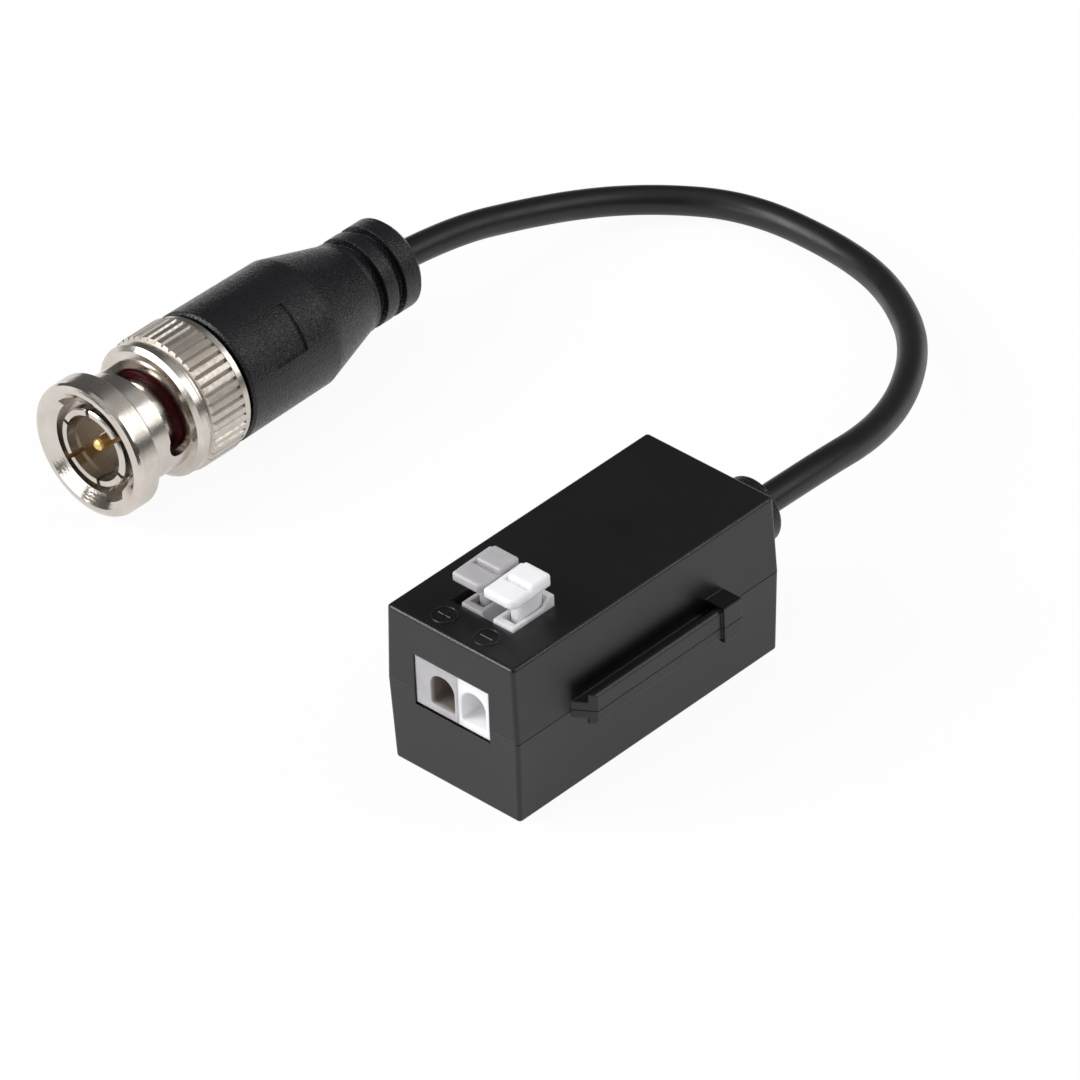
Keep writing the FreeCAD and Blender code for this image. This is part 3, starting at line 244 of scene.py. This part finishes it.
def polished_abs():
    """The same black ABS where the mould was polished, as for the raised marks."""
    material, tree, shader = new_material("polished_abs", colour("18181a"), 0.28, IOR=1.5)
    where = in_millimetres(tree)
    grain(tree, shader, where, 0.3, 0.003, 0.2)
    tree.links.new(vary(tree, where, 0.7, 0.22, 0.34), shader.inputs["Roughness"])
    return material


def entry_shade_depth(tree, where):
    """0 on the terminal's front face, rising to 1 a little way into its wire entries: the mask of their
    painted shade.
    """
    apart = add(tree, "ShaderNodeSeparateXYZ", {"Vector": where})
    depth = add(tree, "ShaderNodeMapRange", {"Value": apart.outputs["Y"], "From Min": ENTRY_MOUTH_Y,
                                             "From Max": ENTRY_INNER_Y})
    below = add(tree, "ShaderNodeMath", {0: apart.outputs["Z"], 1: ENTRY_TOP_Z}, operation="LESS_THAN")
    inside = add(tree, "ShaderNodeMath", {0: depth.outputs["Result"], 1: below.outputs[0]},
                 operation="MULTIPLY")
    return inside.outputs[0]


def moulded_pbt(name, pale, deep, inner, milkiness):
    """Filled PBT as moulded for terminals: satin and milky, with painted shade in its wire entry."""
    material, tree, shader = new_material(name, colour(pale), 0.36, IOR=1.5)
    shader.inputs["Subsurface Weight"].default_value = milkiness
    shader.inputs["Subsurface Radius"].default_value = (1.0, 0.95, 0.9)
    shader.inputs["Subsurface Scale"].default_value = 1.6 * MM
    where = in_millimetres(tree)
    bump = grain(tree, shader, where, 0.35, 0.006, 0.3)
    rounded = add(tree, "ShaderNodeBevel", {"Radius": MOULDED_EDGE * MM}, samples=8)
    tree.links.new(rounded.outputs["Normal"], bump.inputs["Normal"])
    shade = clouded(tree, where, 1.8, pale, deep)
    # painted shade: the colour turns to the darker entry colour a little way into each wire entry
    mix = add(tree, "ShaderNodeMix", {0: entry_shade_depth(tree, where), 6: shade, 7: colour(inner)},
              data_type="RGBA")
    tree.links.new(mix.outputs[2], shader.inputs["Base Color"])
    return material


def extruded_pvc():
    """Black flexible PVC drawn through a die: smooth, with a faint waviness in its shine."""
    material, tree, shader = new_material("extruded_pvc", colour("131416"), 0.38, IOR=1.5,
                                          Specular_IOR_Level=0.46)
    where = in_millimetres(tree)
    grain(tree, shader, where, 0.5, 0.01, 0.25)
    tree.links.new(vary(tree, where, 3.0, 0.33, 0.45), shader.inputs["Roughness"])
    return material


def shoulder_softness(tree, where):
    """How far the boot's edges look rounded, in metres: wide at its shoulder, fine elsewhere."""
    apart = add(tree, "ShaderNodeSeparateXYZ", {"Vector": where})
    offset = add(tree, "ShaderNodeMath", {0: apart.outputs["Y"], 1: SHOULDER_Y}, operation="SUBTRACT")
    away = add(tree, "ShaderNodeMath", {0: offset.outputs[0]}, operation="ABSOLUTE")
    radius = add(tree, "ShaderNodeMapRange", {"Value": away.outputs[0], "From Min": SHOULDER_SOFT,
                                              "From Max": SHOULDER_SOFT + SHOULDER_FADE,
                                              "To Min": SHOULDER_SOFT * MM,
                                              "To Max": BOOT_EDGE_SOFT * MM})
    return radius.outputs["Result"]


def moulded_pvc():
    """Black PVC moulded round the cable: a finely grained skin with a broad, low shine."""
    material, tree, shader = new_material("moulded_pvc", colour("121317"), 0.32, IOR=1.5,
                                          Specular_IOR_Level=0.44)
    where = in_millimetres(tree)
    # the mould's blasted grain is about 0.05 mm, and it is drawn at 0.16 mm so that it shows
    bump = grain(tree, shader, where, 0.16, 0.06, 1.0, 0.0)
    softened = add(tree, "ShaderNodeBevel", {"Radius": shoulder_softness(tree, where)}, samples=8)
    tree.links.new(softened.outputs["Normal"], bump.inputs["Normal"])
    tree.links.new(vary(tree, where, 0.4, 0.2, 0.42), shader.inputs["Roughness"])
    shade = clouded(tree, where, 4.0, "101115", "16171b")
    tree.links.new(shade, shader.inputs["Base Color"])
    return material


def nickel_plate():
    """Turned brass with bright nickel: warm silver, duller on the knurl and polished at the mouth."""
    material, tree, shader = new_material("nickel_plate", colour("d9d2ca"), 0.26, Metallic=1.0)
    where = in_millimetres(tree)
    # the feed marks of fine turning are about 0.1 mm apart, and they are drawn at 0.2 mm to show:
    # this texture's bands lie 2 pi / 20 of a unit apart at a scale of 1
    rings = add(tree, "ShaderNodeTexWave", {"Vector": where, "Scale": 1.6, "Distortion": 1.2, "Detail": 2.0,
                                            "Detail Scale": 2.0}, bands_direction="Y")
    sparkle = grain(tree, shader, where, 0.2, 0.01, 0.6)
    bump = add(tree, "ShaderNodeBump", {"Height": rings.outputs["Fac"], "Strength": 0.12,
                                        "Distance": 0.01 * MM, "Normal": sparkle.outputs["Normal"]})
    tree.links.new(bump.outputs["Normal"], shader.inputs["Normal"])
    apart = add(tree, "ShaderNodeSeparateXYZ", {"Vector": where})
    knurl = add(tree, "ShaderNodeMath", {0: apart.outputs["Y"], 1: KNURL_Y, 2: KNURL_HALF},
                operation="COMPARE")
    mouth = add(tree, "ShaderNodeMapRange", {"Value": apart.outputs["Y"], "From Min": POLISHED_TO_Y,
                                             "From Max": POLISHED_TO_Y + POLISH_FADE, "To Min": 1.0,
                                             "To Max": 0.0})
    turned = add(tree, "ShaderNodeMix", {0: mouth.outputs["Result"], 2: vary(tree, where, 1.5, 0.19, 0.29),
                                         3: vary(tree, where, 1.5, 0.1, 0.16)})
    finish = add(tree, "ShaderNodeMix", {0: knurl.outputs[0], 2: turned.outputs[0],
                                         3: vary(tree, where, 0.4, 0.3, 0.5)})
    tree.links.new(finish.outputs[0], shader.inputs["Roughness"])
    shade = clouded(tree, where, 3.0, "d9d3cc", "cec5bb")
    tree.links.new(shade, shader.inputs["Base Color"])
    return material


def gold_plate():
    """Turned brass with hard gold: a warm and rather soft shine."""
    material, tree, shader = new_material("gold_plate", colour("f6d189"), 0.34, Metallic=1.0)
    where = in_millimetres(tree)
    grain(tree, shader, where, 0.3, 0.004, 0.2)
    tree.links.new(vary(tree, where, 0.8, 0.26, 0.42), shader.inputs["Roughness"])
    return material


def red_silicone():
    """A moulded silicone seal: deep red and dull, its colour darkened with painted shade for where it lies
    in the nut's shade.
    """
    material, tree, shader = new_material("red_silicone", colour("560b12"), 0.5, IOR=1.41,
                                          Specular_IOR_Level=0.15)
    where = in_millimetres(tree)
    grain(tree, shader, where, 0.4, 0.01, 0.3)
    # partly painted shade: the seal's own deep red, drawn darker for the shade it lies in
    shade = clouded(tree, where, 1.2, "43090e", "2c0609")
    tree.links.new(shade, shader.inputs["Base Color"])
    return material


def natural_polypropylene():
    """Natural polypropylene, as in the plug's insulator and the cable's core: off-white and waxy."""
    material, tree, shader = new_material("natural_polypropylene", colour("ece6dc"), 0.4, IOR=1.49)
    shader.inputs["Subsurface Weight"].default_value = 0.3
    shader.inputs["Subsurface Radius"].default_value = (0.8, 0.7, 0.6)
    shader.inputs["Subsurface Scale"].default_value = 0.8 * MM
    where = in_millimetres(tree)
    grain(tree, shader, where, 0.5, 0.01, 0.3)
    shade = clouded(tree, where, 2.0, "eee8de", "e2dbcf")
    tree.links.new(shade, shader.inputs["Base Color"])
    return material


def rolled_metal(name, pale, deep, roughness):
    """Sheet or drawn metal: a dull mirror with streaks 0.12 mm wide and 1.7 mm long."""
    material, tree, shader = new_material(name, colour(pale), roughness, Metallic=1.0)
    where = in_millimetres(tree)
    stretched = add(tree, "ShaderNodeVectorMath", {0: where, 1: (8.0, 0.6, 8.0)}, operation="MULTIPLY")
    streaks = stretched.outputs["Vector"]
    grain(tree, shader, streaks, 1.0, 0.003, 0.3)
    shade = clouded(tree, streaks, 2.0, pale, deep)
    tree.links.new(shade, shader.inputs["Base Color"])
    tree.links.new(vary(tree, where, 1.0, roughness - 0.06, roughness + 0.08), shader.inputs["Roughness"])
    return material


def coated_part(name, pale, deep, roughness, size_mm, height_mm):
    """A coated or fired electronic part: one colour that clouds a little, on an uneven skin."""
    material, tree, shader = new_material(name, colour(pale), roughness, IOR=1.5)
    where = in_millimetres(tree)
    grain(tree, shader, where, size_mm, height_mm, 0.4)
    shade = clouded(tree, where, size_mm * 6, pale, deep)
    tree.links.new(shade, shader.inputs["Base Color"])
    return material


def dress(material, *names):
    """Gives one material to CAD nodes."""
    for name in names:
        slots = nodes[name].data.materials
        slots.clear()
        slots.append(material)


def ride_on(piece, body, material):
    """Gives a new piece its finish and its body."""
    piece.data.materials.append(material)
    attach(piece, body)


def make_cable(material):
    """The lead as one smooth curve, from the grommet's inner face into the plug's boot."""
    data = bpy.data.curves.new("lead", "CURVE")
    data.dimensions = "3D"
    spline = data.splines.new("NURBS")
    spline.points.add(len(ROUTE_MM) - 1)
    for point, place in zip(spline.points, ROUTE_MM):
        point.co = (*(Vector(place) * MM), 1.0)
    spline.order_u = 3
    spline.use_endpoint_u = True
    spline.resolution_u = 24
    data.bevel_depth = CABLE_RADIUS * MM
    data.bevel_resolution = 12
    data.use_fill_caps = True
    lead = bpy.data.objects.new("lead", data)
    bpy.context.scene.collection.objects.link(lead)
    ride_on(lead, "housing", material)
    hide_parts("cable")


def raised_line(data, points, closed=False):
    """One spline of a mark, from points on the upper shell in millimetres."""
    spline = data.splines.new("POLY")
    spline.points.add(len(points) - 1)
    for point, (x, y) in zip(spline.points, points):
        point.co = (x * MM, y * MM, TOP_Z * MM, 1.0)
    spline.use_cyclic_u = closed


def polarity_mark(name, x, arms, material):
    """A fine raised ring round a plus or a minus, polished in the mould."""
    data = bpy.data.curves.new(name, "CURVE")
    data.dimensions = "3D"
    data.bevel_depth = MARK_LINE * MM
    data.bevel_resolution = 3
    turns = [2 * math.pi * i / MARK_STEPS for i in range(MARK_STEPS)]
    ring = [(x + MARK_RADIUS * math.cos(turn), MARK_Y + MARK_RADIUS * math.sin(turn)) for turn in turns]
    raised_line(data, ring, closed=True)
    for across, along in arms:
        raised_line(data, [(x - across, MARK_Y - along), (x + across, MARK_Y + along)])
    mark = bpy.data.objects.new(name, data)
    bpy.context.scene.collection.objects.link(mark)
    ride_on(mark, "housing", material)


def make_marks(material):
    """The plus and the minus before the two levers."""
    polarity_mark("plus_mark", PLUS_MARK_X, [(MARK_ARM, 0), (0, MARK_ARM)], material)
    polarity_mark("minus_mark", MINUS_MARK_X, [(MARK_ARM, 0)], material)


def make_camera():
    """The camera, where it stood for the photograph."""
    data = bpy.data.cameras.new("camera")
    data.lens = LENS_MM
    data.sensor_width = SENSOR_MM
    data.clip_start = 0.05
    data.clip_end = 20.0
    camera = bpy.data.objects.new("camera", data)
    turn = Matrix((CAMERA_RIGHT, CAMERA_UP, CAMERA_BACK)).transposed()
    camera.matrix_world = Matrix.Translation(CAMERA_PLACE) @ turn.to_4x4()
    bpy.context.scene.collection.objects.link(camera)
    bpy.context.scene.camera = camera


def softbox(name, place, width, height, watts):
    """A soft studio lamp that faces the middle of the object."""
    data = bpy.data.lights.new(name, "AREA")
    data.shape = "RECTANGLE"
    data.size = width
    data.size_y = height
    data.energy = watts
    lamp = bpy.data.objects.new(name, data)
    lamp.location = place
    aim = LAMP_AIM - Vector(place)
    lamp.rotation_euler = aim.to_track_quat("-Z", "Y").to_euler()
    bpy.context.scene.collection.objects.link(lamp)


def make_floor():
    """A white sweep that takes shadows.  What the camera and mirrors see is mostly its own glow."""
    mesh = bpy.data.meshes.new("floor")
    corners = [(SWEEP_REACH * x, SWEEP_REACH * y, 0) for x, y in ((-1, -1), (1, -1), (1, 1), (-1, 1))]
    mesh.from_pydata(corners, [], [(0, 1, 2, 3)])
    floor = bpy.data.objects.new("floor", mesh)
    bpy.context.scene.collection.objects.link(floor)
    material = bpy.data.materials.new("white_sweep")
    material.use_nodes = True
    tree = material.node_tree
    tree.nodes.clear()
    lit = add(tree, "ShaderNodeBsdfDiffuse", {"Color": colour("f2f2f2")})
    glow = add(tree, "ShaderNodeEmission", {"Color": colour("ffffff"), "Strength": 1.0})
    path = add(tree, "ShaderNodeLightPath")
    seen = add(tree, "ShaderNodeMath", {0: path.outputs["Is Camera Ray"], 1: SWEEP_SEEN},
               operation="MULTIPLY")
    mirrored = add(tree, "ShaderNodeMath", {0: path.outputs["Is Glossy Ray"],
                                            1: path.outputs["Is Transmission Ray"]}, operation="MAXIMUM")
    kept = add(tree, "ShaderNodeMath", {0: mirrored.outputs[0], 1: SWEEP_MIRRORED}, operation="MULTIPLY")
    share = add(tree, "ShaderNodeMath", {0: seen.outputs[0], 1: kept.outputs[0]}, operation="MAXIMUM")
    mix = add(tree, "ShaderNodeMixShader", {0: share.outputs[0], 1: lit.outputs[0], 2: glow.outputs[0]})
    add(tree, "ShaderNodeOutputMaterial", {"Surface": mix.outputs[0]})
    mesh.materials.append(material)


def light_the_room():
    """Four softboxes, and a white room that fills softly and is dim in mirrors."""
    world = bpy.data.worlds.new("studio")
    bpy.context.scene.world = world
    world.use_nodes = True
    tree = world.node_tree
    tree.nodes.clear()
    path = add(tree, "ShaderNodeLightPath")
    level = add(tree, "ShaderNodeMapRange", {"Value": path.outputs["Is Glossy Ray"],
                                             "To Min": ROOM_FILL, "To Max": ROOM_MIRRORED})
    fill = add(tree, "ShaderNodeBackground", {"Color": colour("ffffff"),
                                              "Strength": level.outputs["Result"]})
    white = add(tree, "ShaderNodeBackground", {"Color": colour("ffffff"), "Strength": 1.0})
    mix = add(tree, "ShaderNodeMixShader", {0: path.outputs["Is Camera Ray"], 1: fill.outputs[0],
                                            2: white.outputs[0]})
    add(tree, "ShaderNodeOutputWorld", {"Surface": mix.outputs[0]})
    softbox("key_softbox", (-0.65, -0.68, 0.66), width=0.46, height=0.8, watts=9.4)
    softbox("top_softbox", (0.25, 0.20, 1.20), width=1.6, height=2.2, watts=4.4)
    softbox("side_softbox", (0.72, 0.70, 0.68), width=0.55, height=0.75, watts=2.6)
    softbox("front_softbox", (-0.15, -1.15, 0.4), width=0.8, height=0.5, watts=3.2)


def dress_pieces(jacket):
    """Gives each CAD node its finish, and the one under the lead the lead's own."""
    dress(spark_eroded_abs(), "upper_shell", "lower_shell")
    # the fourth colour of each is the painted shade inside the wire entries
    dress(moulded_pbt("grey_pbt", "b1afb2", "a8a6a9", "786f69", 0.5),
          "terminal_block_plus", "lever_plus")
    dress(moulded_pbt("white_pbt", "f1f0f3", "eae9ec", "f0f0f2", 0.55),
          "terminal_block_minus", "lever_minus")
    dress(moulded_pvc(), "boot", "strain_relief")
    dress(jacket, "cable")
    dress(nickel_plate(), "coupling_nut", "plug_body", "thrust_washer", "crimp_ferrule")
    dress(gold_plate(), "centre_pin")
    dress(red_silicone(), "gasket")
    dress(natural_polypropylene(), "insulator", "inner_core", "plug_core")
    dress(rolled_metal("spring_steel", "9d9b98", "858380", 0.3), "clamp_spring_plus", "clamp_spring_minus",
          "wave_washer", "retaining_ring")
    dress(rolled_metal("tinned_brass", "c4c1b9", "b0ada4", 0.28), "contact_plus", "contact_minus")
    dress(rolled_metal("tinned_copper_strands", "bfb5a6", "a3967f", 0.35), "braid_tail")
    dress(rolled_metal("enamelled_copper", "9c5228", "7d3d1b", 0.25), "line_winding", "coax_winding")
    dress(coated_part("solder_mask_laminate", "12492c", "0e3d25", 0.35, 0.3, 0.01), "circuit_board")
    dress(coated_part("coated_ferrite", "2f3134", "26282b", 0.5, 0.1, 0.02), "transformer_core")
    dress(coated_part("dipped_epoxy", "1f4f86", "1a4373", 0.22, 0.6, 0.03), "surge_suppressor")
    dress(coated_part("fired_ceramic", "8a7253", "776044", 0.5, 0.15, 0.01), "chip_components")


make_camera()
cable_jacket = extruded_pvc()
make_cable(cable_jacket)
dress_pieces(cable_jacket)
make_marks(polished_abs())
make_floor()
light_the_room()
bpy.context.scene.view_settings.view_transform = "Standard"
